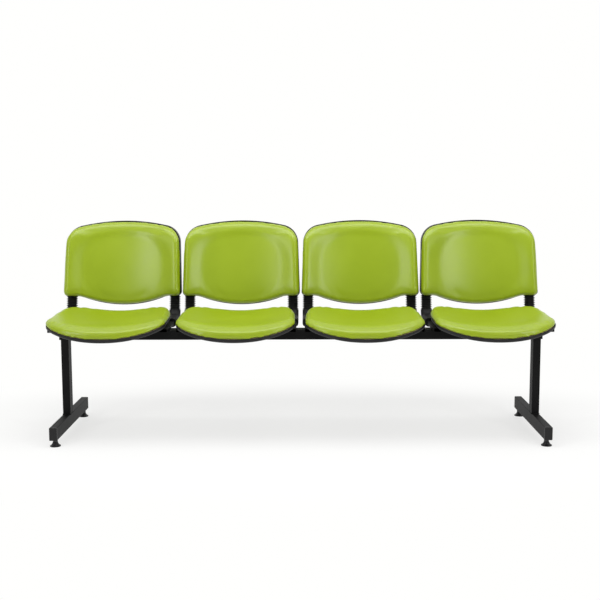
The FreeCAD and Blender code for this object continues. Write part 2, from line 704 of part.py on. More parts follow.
def beam_insert(x, y):
    """Threaded insert set flush in the beam's top wall."""
    body = drum(BEAM_INSERT_RADIUS, BEAM_INSERT_LENGTH, x, y, beam_top - BEAM_INSERT_LENGTH)
    return body.cut(drum(M8_RADIUS + GLIDE_CLEARANCE, BEAM_INSERT_LENGTH, x, y, beam_top - BEAM_INSERT_LENGTH))


def seat_nut(x, y):
    """Threaded bush in the seat board."""
    z = seam_at(x, y) - REST_GAP - SEAT_BOARD + NUT_RECESS
    bush = drum(NUT_RADIUS, SEAT_BOARD - 2 * NUT_RECESS, x, y, z)
    return bush.cut(drum(M6_RADIUS + GLIDE_CLEARANCE, SEAT_BOARD, x, y, z))


# Places shared by several pieces
turn = math.radians(90 - BACK_RECLINE)
across_back = Vector(0, math.cos(recline), -math.sin(recline))
arm_vertex_y = ARM_ENTRY_Y - (BACK_DATUM_Z - arm_mid_z) * math.tan(recline)
elbow_start = arm_vertex_y - ARM_BEND_RADIUS * math.tan(turn / 2)
elbow_end = Vector(0, elbow_start + ARM_BEND_RADIUS * math.sin(turn),
                   arm_mid_z + ARM_BEND_RADIUS * (1 - math.cos(turn)))
rise_to_datum = (BACK_DATUM_Z - elbow_end.z) / math.cos(recline)
glide_places = [-FOOT_FRONT + GLIDE_INSET, FOOT_REAR - GLIDE_INSET]
beam_screw_rows = [beam_mid_y - BEAM_SCREW_SPACING / 2, beam_mid_y + BEAM_SCREW_SPACING / 2]
seat_screw_rows = [SEAT_SCREW_FRONT, SEAT_SCREW_REAR]
seat_screw_places = [(side * SEAT_SCREW_OFFSET, y) for side in (-1, 1) for y in seat_screw_rows]
seat_middles = [SEAT_PITCH * (i - (SEATS - 1) / 2) for i in range(SEATS)]
leg_bolt_places = [(side * LEG_SPREAD / 2, y) for side in (-1, 1) for y in beam_screw_rows]
bracket_places = [(middle + side * x, y) for middle in seat_middles for side in (-1, 1)
                  for x in (BEAM_SCREW_INNER, leg_screw_x) for y in beam_screw_rows]
insert_places = [(x, y) for x, y in bracket_places if abs(abs(x) - LEG_SPREAD / 2) > 1]
back_blank = back_shell_blank(0.0, 0.0)

# Pieces of the legs and the beam
down = Vector(0, 0, -1)
up = Vector(0, 0, 1)
nodes = {"beam": beam()}
nodes["beam_caps"] = Part.Compound([beam_cap(side) for side in (-1, 1)])
foot_caps = []
glide_inserts = []
for side, name in ((-1, "left"), (1, "right")):
    x = side * LEG_SPREAD / 2
    nodes["leg_post_" + name] = leg_post(x)
    nodes["foot_bar_" + name] = foot_bar(x)
    foot_caps += [foot_cap(x, -FOOT_FRONT + FOOT_CAP_HEAD, -1), foot_cap(x, FOOT_REAR - FOOT_CAP_HEAD, 1)]
    for y, end in zip(glide_places, ("front", "rear")):
        nodes["glide_pad_%s_%s" % (end, name)] = glide_pad(x, y)
        nodes["glide_stud_%s_%s" % (end, name)] = glide_stud(x, y)
        glide_inserts.append(glide_insert(x, y))
nodes["foot_caps"] = Part.Compound(foot_caps)
nodes["glide_inserts"] = Part.Compound(glide_inserts)

# Pieces of one seat, then a copy of each for every seat in the row
seat_pieces = {
    "seat_cushion": seat_cushion(),
    "seat_shell": seat_shell(),
    "back_cushion": back_cushion(),
    "back_shell": back_shell(),
    "arm_right": arm(),
    "bellows_right": bellows(),
}
for name in ("arm", "bellows"):
    seat_pieces[name + "_left"] = seat_pieces[name + "_right"].mirror(Vector(0, 0, 0), Vector(1, 0, 0))
for number, middle in enumerate(seat_middles, 1):
    for name, shape in seat_pieces.items():
        nodes["%s_%d" % (name, number)] = moved(shape, middle)

# Hidden boards and fasteners, each kind in one group of separate solids
seat_screws = [headed(M6_RADIUS, M6_HEAD_RADIUS, M6_HEAD, seam_at(x, y) - 2 * REST_GAP - NUT_RECESS - beam_top,
                      Vector(x, y, beam_top), down)
               for x, y in seat_screw_places]
back_screws = [headed(M6_RADIUS, M6_HEAD_RADIUS, M6_HEAD, ARM_DEPTH + BACK_SCREW_BITE, point, across_back)
               for side in (-1, 1) for point in back_screw_points(side, ARM_DEPTH / 2)]
groups = {
    "seat_boards": [seat_board()],
    "back_carriers": [back_carrier()],
    "seat_nuts": [seat_nut(x, y) for x, y in seat_screw_places],
    "seat_screws": seat_screws,
    "back_screws": back_screws,
}
for name, solids in groups.items():
    nodes[name] = Part.Compound([moved(solid, middle) for middle in seat_middles for solid in solids])
nodes["beam_inserts"] = Part.Compound([beam_insert(x, y) for x, y in insert_places])
nodes["bracket_screws"] = Part.Compound([
    headed(M8_RADIUS, M8_HEAD_RADIUS, M8_HEAD, BEAM_SCREW_LENGTH, Vector(x, y, bracket_top), up)
    for x, y in insert_places])
nodes["leg_bolts"] = Part.Compound([
    headed(M8_RADIUS, M8_HEAD_RADIUS, M8_HEAD, BRACKET_PLATE + BEAM_HEIGHT + POST_PLATE,
           Vector(x, y, bracket_top), up)
    for x, y in leg_bolt_places])

# The origin goes to the floor under the middle of the bench, which the feet and the backs bound
reach = [nodes[name].optimalBoundingBox() for name in ("foot_caps", "back_shell_1")]
front_most = min(box.YMin for box in reach)
rear_most = max(box.YMax for box in reach)
shift = -(front_most + rear_most) / 2
os.makedirs("parts", exist_ok=True)
for name, shape in nodes.items():
    placed = moved(shape, 0, shift)
    placed.exportStep("parts/%s.step" % name)
print("nodes", len(nodes), "shift in Y", round(shift, 3))
print("depth", round(rear_most - front_most, 2), "height", round(reach[1].ZMax, 2))
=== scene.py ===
# %% [markdown]
# # Beam seating
#
# Four padded seats stand in a row on one steel beam with two T-shaped legs. The construction, its sizes
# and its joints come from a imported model, which is loaded first and stays where it is. This notebook
# gives every surface its finish and makes the pieces that need more than flat faces and round
# corners: the stuffed cushions, the ribbed sleeves, the welds and the threads of the feet.

# %% Load the frame
import json
import math

import bmesh
import bpy
from mathutils import Matrix, Vector, noise


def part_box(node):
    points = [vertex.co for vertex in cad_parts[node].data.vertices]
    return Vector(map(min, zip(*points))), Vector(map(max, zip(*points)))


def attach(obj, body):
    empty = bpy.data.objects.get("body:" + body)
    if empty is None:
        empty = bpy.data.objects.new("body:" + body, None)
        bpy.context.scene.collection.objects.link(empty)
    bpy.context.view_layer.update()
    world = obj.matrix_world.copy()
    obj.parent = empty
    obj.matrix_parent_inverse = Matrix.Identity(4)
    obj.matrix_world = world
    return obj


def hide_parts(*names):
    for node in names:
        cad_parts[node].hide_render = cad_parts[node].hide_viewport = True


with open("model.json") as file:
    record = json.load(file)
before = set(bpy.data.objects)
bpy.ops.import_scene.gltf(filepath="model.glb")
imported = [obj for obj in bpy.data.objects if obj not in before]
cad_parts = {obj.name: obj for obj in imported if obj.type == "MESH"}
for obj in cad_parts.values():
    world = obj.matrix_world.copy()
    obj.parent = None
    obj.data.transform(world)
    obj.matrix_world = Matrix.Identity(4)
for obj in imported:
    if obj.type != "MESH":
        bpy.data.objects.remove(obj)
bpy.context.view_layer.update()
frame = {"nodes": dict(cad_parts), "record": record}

MM = 0.001
SEATS = 4

# %% [markdown]
# ## Where things are
#
# The same few sizes that shape the seats in the construction shape the cushions here, so both meet.
# Depths count from the front face of the leg posts, and every height counts from the floor. The
# middle of each seat is read from the frame, so that a cushion always lies on its own shell.

# %% Places read from the frame
post_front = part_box("leg_post_left")[0].y
seat_middles = []
for number in range(1, SEATS + 1):
    low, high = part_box("seat_shell_%d" % number)
    seat_middles.append((low.x + high.x) / 2)
beam_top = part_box("beam")[1].z
print("seat middles", [round(x, 4) for x in seat_middles], "beam top", round(beam_top, 4))


def depth(mm):
    """Y in the frame of a depth in millimetres behind the posts' front face."""
    return post_front + mm * MM


def linked(name, data):
    """New object in the scene that shows some data."""
    made = bpy.data.objects.new(name, data)
    bpy.context.scene.collection.objects.link(made)
    return made


# %% [markdown]
# ## The camera
#
# The photograph is square and was taken from about four metres away, a little above the backs, with
# a lens that is long enough to keep the two legs almost parallel. The camera is level to within a
# quarter of a degree, so its small turns are written as they were measured.

# %% Camera at the photograph's place
LENS_MM = 59.35
SENSOR_MM = 36.0
CAMERA_PLACE = Vector((0.0179, post_front - 3.8667, 1.0008))
CAMERA_DOWN = 0.1195
CAMERA_YAW = -0.0051
CAMERA_ROLL = -0.0028

camera_data = bpy.data.cameras.new("camera")
camera_data.lens = LENS_MM
camera_data.sensor_width = SENSOR_MM
camera = linked("camera", camera_data)
camera.location = CAMERA_PLACE
aim = Matrix.Rotation(-CAMERA_YAW, 4, "Z") @ Matrix.Rotation(math.pi / 2 - CAMERA_DOWN, 4, "X")
camera.rotation_euler = (aim @ Matrix.Rotation(CAMERA_ROLL, 4, "Z")).to_euler()
bpy.context.scene.camera = camera

# %% [markdown]
# ## Shader maths as plain expressions
#
# A finish is a sum of small fields, such as grain, dust and pores. Written node by node that is hard
# to read, so one small class wraps a socket and lets Python's own operators add the Math nodes. A
# second one adds any other node to a tree from its type, its settings and its inputs, and a third
# one holds a material with its shader.


# %% A socket that Python can calculate with
class Field:
    """One number that varies over a surface."""

    def __init__(self, wiring, socket):
        self.wiring = wiring
        self.socket = socket

    def combine(self, operation, first, second):
        return self.wiring.add("ShaderNodeMath", {"operation": operation}, {0: first, 1: second})

    def __add__(self, other):
        return self.combine("ADD", self, other)

    def __radd__(self, other):
        return self.combine("ADD", other, self)

    def __sub__(self, other):
        return self.combine("SUBTRACT", self, other)

    def __rsub__(self, other):
        return self.combine("SUBTRACT", other, self)

    def __mul__(self, other):
        return self.combine("MULTIPLY", self, other)

    def __rmul__(self, other):
        return self.combine("MULTIPLY", other, self)

    def __truediv__(self, other):
        return self.combine("DIVIDE", self, other)

    def __pow__(self, other):
        return self.combine("POWER", self, other)

    def ramp(self, start, stop):
        """0 below start, 1 above stop, smooth between."""
        inputs = {"Value": self, "From Min": start, "From Max": stop, "To Min": 0.0, "To Max": 1.0}
        return self.wiring.add("ShaderNodeMapRange", {"interpolation_type": "SMOOTHSTEP"}, inputs)


# %% A node tree with one way to add any node
class Wiring:
    """A node tree, and one way to add any node to it."""

    def __init__(self, tree):
        self.tree = tree

    def add(self, kind, settings, inputs, output=0):
        """A node from its type, its settings, and the values or links of its inputs."""
        node = self.tree.nodes.new(kind)
        for name, value in settings.items():
            setattr(node, name, value)
        for name, value in inputs.items():
            if isinstance(value, Field):
                value = value.socket
            if isinstance(value, bpy.types.NodeSocket):
                self.tree.links.new(value, node.inputs[name])
            else:
                node.inputs[name].default_value = value
        return Field(self, node.outputs[output]) if len(node.outputs) else None

    def ray(self, kind):
        """1 where a ray is of a kind, such as Camera."""
        return self.add("ShaderNodeLightPath", {}, {}, "Is %s Ray" % kind)


# %% A material with its shader
class Finish(Wiring):
    """A material, its shader, and the fields that its relief and colours are made of."""

    def __init__(self, name, colour, roughness):
        self.material = bpy.data.materials.new(name)
        self.material.use_nodes = True
        super().__init__(self.material.node_tree)
        self.shader = self.tree.nodes["Principled BSDF"]
        self.plain(**{"Base Color": (*colour, 1.0), "Roughness": roughness})
        self.place = self.add("ShaderNodeTexCoord", {}, {}, "Object").socket

    def plain(self, **values):
        """Set sockets that are the same all over the surface."""
        for name, value in values.items():
            self.shader.inputs[name].default_value = value

    def noise(self, scale, detail=2.0, stretch=None):
        """Soft noise, with so many cells to the metre."""
        place = self.place
        if stretch:
            place = self.add("ShaderNodeMapping", {}, {"Vector": place, "Scale": stretch}).socket
        return self.add("ShaderNodeTexNoise", {}, {"Vector": place, "Scale": scale, "Detail": detail})

    def cells(self, scale, feature="F1"):
        """Distance to the nearest of scattered points, as in leather or orange peel."""
        inputs = {"Vector": self.place, "Scale": scale}
        return self.add("ShaderNodeTexVoronoi", {"feature": feature}, inputs)

    def colours(self, factor, first, second):
        """Colour between two colours."""
        inputs = {0: factor, 6: (*first, 1.0), 7: (*second, 1.0)}
        return self.add("ShaderNodeMix", {"data_type": "RGBA"}, inputs, 2)

    def relief(self, height, depth_m, strength=1.0):
        """Bump of the surface by a field, whose full step is a depth in metres."""
        inputs = {"Height": height, "Distance": depth_m, "Strength": strength}
        self.feed("Normal", self.add("ShaderNodeBump", {}, inputs))

    def feed(self, name, field):
        """Link a field to one of the shader's sockets."""
        self.tree.links.new(field.socket, self.shader.inputs[name])


# %% [markdown]
# ## Light and floor
#
# A white backdrop in a calmer room: the surround is brighter overhead than at the sides, with one
# broad lamp above and a soft box each side of the camera, which draws the pale patch on every back.
# The camera sees plain white wherever it misses the object, and polished surfaces see it behind them.

# %% Surround that is white to the camera and calm to the object
SIDE_LIGHT = 0.24
OVERHEAD_LIGHT = 0.55
OVERHEAD_RAMP = (-0.1, 0.8)
BACKDROP_RAMP = (-0.35, 0.25)
PAPER_WHITE = (1.0, 1.0, 0.99, 1.0)

bpy.context.scene.view_settings.view_transform = "Standard"
world = bpy.data.worlds.new("studio")
bpy.context.scene.world = world
world.use_nodes = True
world.node_tree.nodes.clear()
sky = Wiring(world.node_tree)
direction = sky.add("ShaderNodeTexCoord", {}, {}, "Generated")
upward = sky.add("ShaderNodeSeparateXYZ", {}, {0: direction}, "Z")
backward = sky.add("ShaderNodeSeparateXYZ", {}, {0: direction}, "Y")
level = SIDE_LIGHT + (OVERHEAD_LIGHT - SIDE_LIGHT) * upward.ramp(*OVERHEAD_RAMP)
surround = sky.add("ShaderNodeBackground", {}, {"Color": (1.0, 1.0, 1.0, 1.0), "Strength": level})
white = sky.add("ShaderNodeBackground", {}, {"Color": PAPER_WHITE, "Strength": 1.0})
camera_ray, glossy_ray, clear_ray = [sky.ray(kind) for kind in ("Camera", "Glossy", "Transmission")]
backdrop = glossy_ray * backward.ramp(*BACKDROP_RAMP)
seen = sky.add("ShaderNodeMath", {"operation": "MAXIMUM"}, {0: camera_ray + clear_ray, 1: backdrop})
look = sky.add("ShaderNodeMixShader", {}, {0: seen, 1: surround, 2: white})
sky.add("ShaderNodeOutputWorld", {}, {"Surface": look})


# %% Lamps
def soft_box(name, place, target, size, watts):
    """Rectangular lamp at a place that faces a target."""
    data = bpy.data.lights.new(name, "AREA")
    data.shape = "RECTANGLE"
    data.size, data.size_y = size
    data.energy = watts
    lamp = linked(name, data)
    lamp.location = place
    lamp.rotation_euler = (Vector(target) - Vector(place)).to_track_quat("-Z", "Y").to_euler()


soft_box("lamp_above", place=(0.0, -0.5, 2.7), target=(0.0, 0.0, 0.45), size=(3.4, 1.2), watts=52.0)
for side in (-1, 1):
    soft_box("lamp_side", place=(side * 2.4, -2.5, 1.7), target=(side * 0.4, 0.0, 0.6),
             size=(0.7, 1.1), watts=21.0)

# %% [markdown]
# The floor is real white paint near the bench, where it catches the shadow, and melts into the plain
# white of the background further out, so that no horizon shows.

# %% Floor
FLOOR_SIZE = 14.0
FLOOR_SHADOW = 0.31
SHADOW_REACH = Vector((1.5, 0.8))
SHADOW_FADE = (0.7, 1.35)

half_floor = FLOOR_SIZE / 2
floor_mesh = bpy.data.meshes.new("floor")
floor_corners = [(x * half_floor, y * half_floor, 0) for x, y in ((-1, -1), (1, -1), (1, 1), (-1, 1))]
floor_mesh.from_pydata(floor_corners, [], [(0, 1, 2, 3)])
floor = linked("floor", floor_mesh)

paint = Finish("floor", (0.93, 0.93, 0.925), 0.9)
paint.plain(**{"Specular IOR Level": 0.1})
away = paint.add("ShaderNodeVectorMath", {"operation": "DIVIDE"},
                 {0: paint.place, 1: (SHADOW_REACH.x, SHADOW_REACH.y, 1.0)})
distance = paint.add("ShaderNodeVectorMath", {"operation": "LENGTH"}, {0: away}, 1)
seen_rays = paint.ray("Camera") + paint.ray("Glossy") + paint.ray("Transmission")
white_share = seen_rays * (1 - FLOOR_SHADOW * (1 - distance.ramp(*SHADOW_FADE)))
glow = paint.add("ShaderNodeEmission", {}, {"Color": PAPER_WHITE, "Strength": 1.0})
shade = paint.add("ShaderNodeMixShader", {}, {0: white_share, 1: paint.shader.outputs[0], 2: glow})
paint.tree.links.new(shade.socket, paint.tree.nodes["Material Output"].inputs["Surface"])
floor_mesh.materials.append(paint.material)

# %% [markdown]
# ## The cover of the cushions
#
# The cover is upholstery vinyl in a lime green: a pressed grain of fine cells under a thin satin
# lacquer. The green is deep, so the pale look comes from the lacquer and not from the colour. A slow
# drift in tone and in gloss keeps eight equal cushions from looking like plastic.

# %% Vinyl
VINYL_GREEN = (0.30, 0.405, 0.004)
VINYL_DEEP = (0.265, 0.365, 0.002)
GRAIN_PER_METRE = 620.0
GRAIN_DEPTH = 0.22 * MM


def vinyl():
    """Cover of the cushions: grain and pores, with fine creases between them."""
    finish = Finish("vinyl", VINYL_GREEN, 0.42)
    drift = finish.noise(7.0, 3.0).ramp(0.3, 0.7)
    pores = finish.cells(GRAIN_PER_METRE)
    pebble = finish.cells(GRAIN_PER_METRE * 0.5, "SMOOTH_F1")
    creases = finish.noise(90.0, 4.0)
    tone = drift * 0.55 + pores.ramp(0.0, 0.6) * 0.15 + creases * 0.3
    finish.feed("Base Color", finish.colours(tone, VINYL_DEEP, VINYL_GREEN))
    finish.feed("Roughness", 0.29 + drift * 0.06 + creases * 0.05)
    finish.relief(pores * 0.5 + pebble * 0.4 + creases * 0.6, GRAIN_DEPTH, 0.55)
    finish.plain(**{"Specular IOR Level": 0.5, "Coat Weight": 0.12, "Coat Roughness": 0.25})
    return finish.material


# %% [markdown]
# ## Black plastics and black paint
#
# Five blacks meet on this bench and they have to be told apart: the textured shells, the duller
# bellows, the glossier caps and glides, the powder-coated tubes with their orange peel, and the
# oiled screws. They share one recipe, a fine relief over a slow drift in gloss, at different scales.


# %% One recipe for the blacks
def black_finish(name, grey, roughness, relief_scale, relief_depth, dust, shine):
    """Near-black surface with a fine relief, a drift in gloss and a trace of dust."""
    colour = (grey, grey, grey * 1.03)
    finish = Finish(name, colour, roughness)
    drift = finish.noise(9.0, 3.0)
    grain = finish.noise(relief_scale, 2.0)
    pits = finish.cells(relief_scale * 0.8)
    pale = tuple(c + dust for c in colour)
    finish.feed("Base Color", finish.colours(drift.ramp(0.35, 0.75) * 0.7 + grain * 0.3, colour, pale))
    finish.feed("Roughness", roughness - 0.05 + drift * 0.08 + grain * 0.03)
    finish.relief(grain * 0.6 + pits * 0.5, relief_depth, 0.6)
    finish.plain(**{"Specular IOR Level": shine})
    return finish.material


# %% [markdown]
# ## Inner materials
#
# The boards, the carriers and the threaded inserts are hidden in the finished bench. They still get
# what they are made of, because the pieces are also looked at one by one.


# %% Zinc and plywood
def zinc():
    """Plated steel: lathe marks over a pale crystal pattern."""
    finish = Finish("zinc_steel", (0.62, 0.62, 0.6), 0.34)
    lathe = finish.noise(260.0, 3.0, (0.2, 0.2, 4.0))
    spangle = finish.cells(500.0)
    finish.feed("Base Color", finish.colours(spangle.ramp(0.1, 0.7),
                                             (0.56, 0.57, 0.56), (0.68, 0.67, 0.63)))
    finish.feed("Roughness", 0.28 + lathe * 0.16)
    finish.relief(lathe, 0.00008, 0.4)
    finish.plain(Metallic=1.0)
    return finish.material


def plywood():
    """Beech veneer: long grain with finer fibres in it."""
    finish = Finish("plywood", (0.55, 0.4, 0.24), 0.62)
    grain = finish.noise(60.0, 5.0, (6.0, 0.5, 1.0))
    fibres = finish.noise(420.0, 2.0, (3.0, 0.25, 1.0))
    finish.feed("Base Color", finish.colours(grain.ramp(0.3, 0.7) * 0.8 + fibres * 0.2,
                                             (0.42, 0.28, 0.15), (0.62, 0.47, 0.3)))
    finish.feed("Roughness", 0.55 + grain * 0.15)
    finish.relief(fibres + grain * 0.5, 0.0003, 0.5)
    return finish.material


# %% All finishes by the record's slot names
finishes = {
    "vinyl": vinyl(),
    "shell_plastic": black_finish("shell_plastic", 0.008, 0.46, 1500.0, 0.00010, 0.008, 0.3),
    "bellows_plastic": black_finish("bellows_plastic", 0.006, 0.55, 1100.0, 0.00006, 0.006, 0.3),
    "coated_steel": black_finish("coated_steel", 0.006, 0.52, 420.0, 0.00007, 0.003, 0.1),
    "cap_plastic": black_finish("cap_plastic", 0.008, 0.38, 1300.0, 0.00005, 0.006, 0.3),
    "glide_plastic": black_finish("glide_plastic", 0.007, 0.42, 900.0, 0.00005, 0.012, 0.3),
    "black_steel": black_finish("black_steel", 0.014, 0.34, 700.0, 0.00004, 0.006, 0.5),
    "zinc_steel": zinc(),
    "plywood": plywood(),
    "carrier_plastic": black_finish("carrier_plastic", 0.03, 0.55, 800.0, 0.00008, 0.01, 0.4),
}
slot_of = {row["node"]: row["material_slot"] for row in frame["record"]["subparts"]}
for name, node in frame["nodes"].items():
    node.data.materials.clear()
    node.data.materials.append(finishes[slot_of[name]])
print("finishes", len(finishes), "on", len(slot_of), "nodes")

# %% [markdown]
# ## A skin over rings
#
# A cushion starts as a closed skin: rings of points from the middle of its underside, round the rim
# and back to the middle of its top. Every ring has as many points as the outline, so that the faces
# are clean quads, and a fan closes each end.

# %% Meshes from rings
PART_BODY = "bench"


def skin(name, rings, first_pole, last_pole):
    """Closed mesh through rings of equal length, with a point at each end."""
    count = len(rings[0])
    points = [first_pole, *[p for ring in rings for p in ring], last_pole]
    last = len(points) - 1
    faces = []
    for i in range(count):
        j = (i + 1) % count
        faces.append((0, 1 + j, 1 + i))
        for row in range(len(rings) - 1):
            a, b = 1 + row * count, 1 + (row + 1) * count
            faces.append((a + i, a + j, b + j, b + i))
        a = 1 + (len(rings) - 1) * count
        faces.append((a + i, a + j, last))
    mesh = bpy.data.meshes.new(name)
    mesh.from_pydata(points, [], faces)
    tidy = bmesh.new()
    tidy.from_mesh(mesh)
    bmesh.ops.recalc_face_normals(tidy, faces=tidy.faces)
    tidy.to_mesh(mesh)
    tidy.free()
    return linked(name, mesh)


def settled(piece, name):
    """Replace an object and its modifiers by the plain mesh that they make."""
    graph = bpy.context.evaluated_depsgraph_get()
    graph.update()
    mesh = bpy.data.meshes.new_from_object(piece.evaluated_get(graph))
    plain = linked(name, mesh)
    bpy.data.objects.remove(piece)
    mesh.name = name
    return plain


def smooth(piece):
    """Shade a piece's faces as one smooth surface."""
    piece.data.polygons.foreach_set("use_smooth", [True] * len(piece.data.polygons))
    return piece


def dressed(piece, slot_name, body, *nodes):
    """Give a piece its finish, its body, and the nodes that it stands for."""
    piece.data.materials.clear()
    piece.data.materials.append(finishes[slot_name])
    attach(piece, body)
    if nodes:
        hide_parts(*nodes)
    return piece


# %% [markdown]
# ## Foam that swells
#
# Foam pushes its cover outwards until the seam holds it. A cloth simulation with a little air
# pressure does just that: the skin is remeshed evenly, the part that lies on the board is pinned, and
# the rest swells for twenty steps. A cap keeps every point within a few millimetres of where it
# started, so that the cushion stays in the space that the construction gives it.

# %% Swelling by simulation
VOXEL = 6 * MM
AIR_PRESSURE = 4.0
SWELL_FRAMES = 20


def eased(piece, rounds):
    """Add a modifier that evens out a piece's points."""
    ease = piece.modifiers.new("ease", "SMOOTH")
    ease.factor = 0.5
    ease.iterations = rounds


def swollen(piece, cap, is_held):
    """The piece after its cover has swelled by at most the cap, but for the points that are held."""
    name = piece.name
    even = piece.modifiers.new("even", "REMESH")
    even.mode = "VOXEL"
    even.voxel_size = VOXEL
    eased(piece, 4)
    piece = settled(piece, name)
    start = [v.co.copy() for v in piece.data.vertices]
    held = piece.vertex_groups.new(name="held")
    held.add([i for i, p in enumerate(start) if is_held(p)], 1.0, "REPLACE")
    cover = piece.modifiers.new("cover", "CLOTH")
    cover.settings.use_pressure = True
    cover.settings.uniform_pressure_force = AIR_PRESSURE
    cover.settings.effector_weights.gravity = 0.0
    cover.settings.vertex_group_mass = "held"
    cover.settings.quality = 4
    cover.point_cache.frame_end = SWELL_FRAMES
    for step in range(1, SWELL_FRAMES + 1):
        bpy.context.scene.frame_set(step)
    piece = settled(piece, name)
    bpy.context.scene.frame_set(1)
    for vertex, before in zip(piece.data.vertices, start):
        travel = vertex.co - before
        if travel.length > cap:
            vertex.co = before + travel * (cap / travel.length)
    eased(piece, 3)
    finer = piece.modifiers.new("finer", "SUBSURF")
    finer.levels = 1
    finer.render_levels = 1
    piece = settled(piece, name)
    print(name, len(piece.data.polygons), "faces after swelling")
    return piece


# %% A copy with pulls of its own for every place
PULLS_PER_METRE = 38.0
PULLS_SHIFT = 7.3


def puckered(piece, number, nearness, height):
    """Add the small pulls of the cover next to its seam, different on each seat."""
    normals = [v.normal.copy() for v in piece.data.vertices]
    for vertex, normal in zip(piece.data.vertices, normals):
        near = nearness(vertex.co)
        if near > 0:
            spot = vertex.co * PULLS_PER_METRE + Vector((0.0, 0.0, PULLS_SHIFT * number))
            vertex.co += normal * (noise.noise(spot) * height * near)


def one_for_each_place(pad, kind, nearness, height):
    """Lay a puckered copy of a seat or back pad in every place, and drop the pad."""
    for number, middle in enumerate(seat_middles, 1):
        cushion = linked("cushion_%s_%d" % (kind, number), pad.data.copy())
        puckered(cushion, number, nearness, height)
        cushion.data.transform(Matrix.Translation((middle, 0, 0)))
        dressed(smooth(cushion), "vinyl", PART_BODY, "%s_cushion_%d" % (kind, number))
    bpy.data.objects.remove(pad)


# %% [markdown]
# ## Seat cushions
#
# Seen from above a seat is rounder in front and squarer behind, which two halves of a superellipse
# draw. Its top is dished from side to side and rises towards the back, and its front edge rolls
# down under the knees. The cover folds under and meets the shell in a shadow line.

# %% Seat sizes
SEAT_HALF_WIDTH = 232.4 * MM
SEAT_WIDEST_Y = depth(-88.5)
SEAT_FRONT_REACH = 124.0 * MM
SEAT_REAR_REACH = 316.0 * MM
SEAT_SQUARENESS = {"front": 2.3, "rear": 4.0}
SEAM_LEVEL = 430.9 * MM
SEAM_SLOPE = 0.0415
SEAM_NOSE_DROP = 15.5 * MM
SEAM_DISH = 26.5 * MM
CROWN_LEVEL = 453.0 * MM
CROWN_SLOPE = 0.0075
CROWN_NOSE_DROP = 8.0 * MM
CROWN_TAIL_RISE = 19.0 * MM
CROWN_DISH = 26.5 * MM
CROWN_DISH_GROWTH = 0.03
SEAT_RING_POINTS = 120
OUTLINE_FINENESS = 2880
SEAT_ROLL_IN = 19 * MM
SEAT_ROLL_DOWN = 15 * MM
SEAT_TUCK = 3 * MM
SEAT_SWELL = 4 * MM
SEAT_PULLS = 1.6 * MM
SEAT_PULLS_REACH = 22 * MM
SEAT_HEART = Vector((0.0, SEAT_WIDEST_Y + 60 * MM))


def seat_rim(share):
    """Point of the seat's outline at a share of the way round it."""
    c, s = math.cos(math.tau * share), math.sin(math.tau * share)
    square = SEAT_SQUARENESS["front" if s < 0 else "rear"]
    reach = SEAT_FRONT_REACH if s < 0 else SEAT_REAR_REACH
    x = math.copysign(abs(c) ** (2 / square), c) * SEAT_HALF_WIDTH
    return Vector((x, SEAT_WIDEST_Y + math.copysign(abs(s) ** (2 / square), s) * reach))


def seam_height(x, y):
    """Height of the seam surface, on which the cushion lies."""
    nose = max(0.0, (SEAT_WIDEST_Y - y) / SEAT_FRONT_REACH)
    rise = SEAM_LEVEL + SEAM_SLOPE * (y - SEAT_WIDEST_Y) - SEAM_NOSE_DROP * nose ** 2
    return rise + SEAM_DISH * (x / SEAT_HALF_WIDTH) ** 2


def seat_top(x, y):
    """Height of the cushion's top."""
    nose = max(0.0, (SEAT_WIDEST_Y - y) / SEAT_FRONT_REACH)
    tail = max(0.0, (y - SEAT_WIDEST_Y) / SEAT_REAR_REACH)
    rise = CROWN_LEVEL + CROWN_SLOPE * (y - SEAT_WIDEST_Y)
    middle = rise + CROWN_TAIL_RISE * tail ** 2 - CROWN_NOSE_DROP * nose ** 2
    dish = CROWN_DISH + CROWN_DISH_GROWTH * (y - SEAT_WIDEST_Y)
    return middle + dish * (x / SEAT_HALF_WIDTH) ** 2


# %% Seat cushion skin
def even_outline(rim, count):
    """As many points at equal steps along a closed outline, given by share."""
    fine = [rim(i / OUTLINE_FINENESS) for i in range(OUTLINE_FINENESS)]
    lengths = [0.0]
    for i in range(len(fine)):
        lengths.append(lengths[-1] + (fine[(i + 1) % len(fine)] - fine[i]).length)
    points, at = [], 0
    for i in range(count):
        goal = lengths[-1] * i / count
        while lengths[at + 1] < goal:
            at += 1
        points.append(fine[at].copy())
    return points


def inner_rings(ring, heart, height, count=14):
    """Rings from one ring in towards the heart, laid on a surface."""
    rings = []
    for step in range(1, count):
        share = step / count
        spots = [Vector((p.x, p.y)).lerp(heart, share) for p in ring]
        rings.append([Vector((spot.x, spot.y, height(spot.x, spot.y))) for spot in spots])
    return rings


